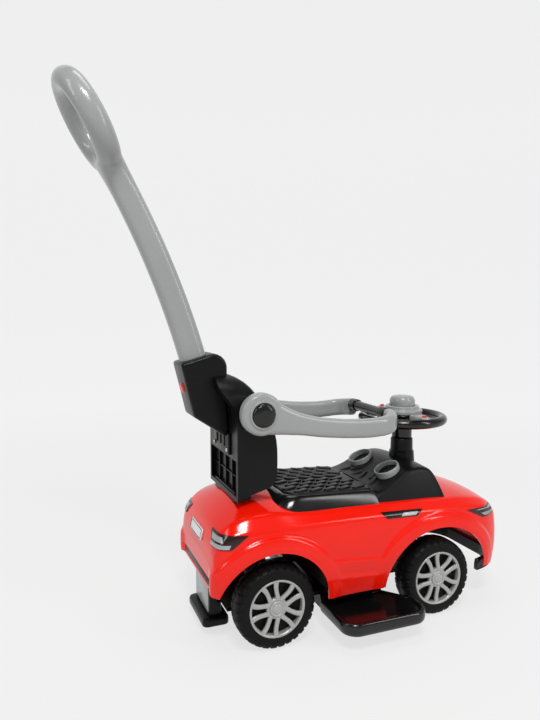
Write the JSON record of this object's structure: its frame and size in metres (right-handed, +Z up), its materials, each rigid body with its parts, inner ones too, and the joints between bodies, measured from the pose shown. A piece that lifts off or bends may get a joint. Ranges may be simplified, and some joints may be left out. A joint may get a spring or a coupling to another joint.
{
  "type": "push car with handle",
  "caption": "Child's ride on push car: moulded shell on steered wheels, lift up seat over a box, backrest, swing up guard, footrests and a push handle with a grip loop.",
  "frame": {"origin": "on the ground under the middle of the car's length, on its centre plane", "axes": "+X to the car's front, +Y to its left, +Z up"},
  "size_m": [0.8304, 0.406, 0.9498],
  "materials": {
    "red_shell": "glossy moulded",
    "gloss_black": "glossy moulded",
    "satin_black": "satin moulded",
    "seat_black": "satin, raised tread",
    "grey_plastic": "semi gloss moulded",
    "red_accent": "glossy moulded",
    "wheel_black": "moulded, fine grain",
    "rim_silver": "silver grey moulded",
    "steel": "zinc plated",
    "lamp_film": "printed film",
    "plate_white": "printed film",
    "silver_film": "silver film"
  },
  "bodies": {
    "car": {"body_shell": "red_shell", "chassis_tray": "satin_black", "front_lip": "satin_black", "rear_axle": "steel", "axle_washers": "steel", "seat_frame": "gloss_black", "lid_pins": "steel", "storage_tray": "satin_black", "console": "satin_black", "dial_bezels": "grey_plastic", "dial_faces": "satin_black", "kingpins": "steel", "kingpin_bridge": "steel", "backrest": "satin_black", "pivot_pins": "steel", "handle_socket": "satin_black", "socket_screws": "steel", "chassis_screws": "steel", "tail_lamps": "lamp_film", "headlamps": "lamp_film", "side_vents": "lamp_film", "grille": "lamp_film", "number_plate": "plate_white", "anti_tip_foot": "satin_black", "anti_tip_plate": "silver_film"},
    "steering": {"steering_rod": "steel", "steering_wheel": "gloss_black", "steering_hub": "grey_plastic", "steering_inserts": "grey_plastic", "sound_module": "satin_black", "horn_spring": "steel"},
    "horn": {"horn_button": "grey_plastic"},
    "wheel_button_left": {"steering_button_left": "red_accent"},
    "wheel_button_right": {"steering_button_right": "red_accent"},
    "front_knuckle_left": {"knuckle_left": "satin_black"},
    "front_knuckle_right": {"knuckle_right": "satin_black"},
    "steering_link": {"tie_rod": "satin_black"},
    "lid": {"seat_lid": "seat_black"},
    "foot_left": {"footrest_left": "gloss_black"},
    "foot_right": {"footrest_right": "gloss_black"},
    "guard": {"guard_arm_left": "grey_plastic", "guard_arm_right": "grey_plastic", "guard_bar": "gloss_black", "pivot_caps": "gloss_black"},
    "handle": {"push_handle": "grey_plastic"},
    "release": {"handle_button": "red_accent", "button_spring": "steel"},
    "wheel_rear_left": {"tyre_rear_left": "wheel_black", "rim_rear_left": "rim_silver", "hub_cap_rear_left": "rim_silver"},
    "wheel_rear_right": {"tyre_rear_right": "wheel_black", "rim_rear_right": "rim_silver", "hub_cap_rear_right": "rim_silver"},
    "wheel_front_left": {"tyre_front_left": "wheel_black", "rim_front_left": "rim_silver", "hub_cap_front_left": "rim_silver"},
    "wheel_front_right": {"tyre_front_right": "wheel_black", "rim_front_right": "rim_silver", "hub_cap_front_right": "rim_silver"}
  },
  "joints": [
    {"name": "rear_left_wheel_spin", "type": "hinge", "parent": "car", "child": "wheel_rear_left", "pos_m": [-0.08619, 0.115, 0.072], "axis": [0, 1, 0], "continuous": true},
    {"name": "rear_right_wheel_spin", "type": "hinge", "parent": "car", "child": "wheel_rear_right", "pos_m": [-0.08619, -0.115, 0.072], "axis": [0, 1, 0], "continuous": true},
    {"name": "front_left_wheel_spin", "type": "hinge", "parent": "front_knuckle_left", "child": "wheel_front_left", "pos_m": [0.2368, 0.115, 0.072], "axis": [0, 1, 0], "continuous": true},
    {"name": "front_right_wheel_spin", "type": "hinge", "parent": "front_knuckle_right", "child": "wheel_front_right", "pos_m": [0.2368, -0.115, 0.072], "axis": [0, 1, 0], "continuous": true},
    {"name": "steering_turn", "type": "hinge", "parent": "car", "child": "steering", "pos_m": [0.2418, 0, 0.352], "axis": [0, 0, 1], "range_deg": [-25, 25]},
    {"name": "left_knuckle_turn", "type": "hinge", "parent": "car", "child": "front_knuckle_left", "pos_m": [0.2368, 0.08, 0.072], "axis": [0, 0, 1], "range_deg": [-25, 25]},
    {"name": "right_knuckle_turn", "type": "hinge", "parent": "car", "child": "front_knuckle_right", "pos_m": [0.2368, -0.08, 0.072], "axis": [0, 0, 1], "range_deg": [-25, 25]},
    {"name": "tie_rod_slide", "type": "slide", "parent": "car", "child": "steering_link", "axis": [0, 1, 0], "range_m": [-0.0135, 0.0135]},
    {"name": "horn_press", "type": "slide", "parent": "steering", "child": "horn", "axis": [0, 0, -1], "range_m": [0, 0.003], "stiffness_N_per_m": 600, "springref_m": -0.003, "deforming": ["horn_spring"]},
    {"name": "left_wheel_button_press", "type": "slide", "parent": "steering", "child": "wheel_button_left", "axis": [0, 0, -1], "range_m": [0, 0.0012], "stiffness_N_per_m": 200},
    {"name": "right_wheel_button_press", "type": "slide", "parent": "steering", "child": "wheel_button_right", "axis": [0, 0, -1], "range_m": [0, 0.0012], "stiffness_N_per_m": 200},
    {"name": "seat_lid_lift", "type": "hinge", "parent": "car", "child": "lid", "pos_m": [0.1243, 0, 0.238], "axis": [0, 1, 0], "range_deg": [0, 70]},
    {"name": "left_footrest_pull", "type": "slide", "parent": "car", "child": "foot_left", "axis": [0, 1, 0], "range_m": [0, 0.055]},
    {"name": "right_footrest_pull", "type": "slide", "parent": "car", "child": "foot_right", "axis": [0, -1, 0], "range_m": [0, 0.055]},
    {"name": "guard_lift", "type": "hinge", "parent": "car", "child": "guard", "pos_m": [-0.10419, 0, 0.398], "axis": [0, -1, 0], "range_deg": [0, 100]},
    {"name": "handle_pull", "type": "slide", "parent": "car", "child": "handle", "axis": [-0.2756, 0, 0.9613], "range_m": [0, 0.085]},
    {"name": "release_press", "type": "slide", "parent": "car", "child": "release", "axis": [0.9613, 0, 0.2756], "range_m": [0, 0.002], "stiffness_N_per_m": 400}
  ],
  "couplings": [
    {"joint": "left_knuckle_turn", "follows": "steering_turn", "ratio": 1},
    {"joint": "right_knuckle_turn", "follows": "steering_turn", "ratio": 1},
    {"joint": "tie_rod_slide", "follows": "steering_turn", "m_per_rad": -0.03}
  ]
}
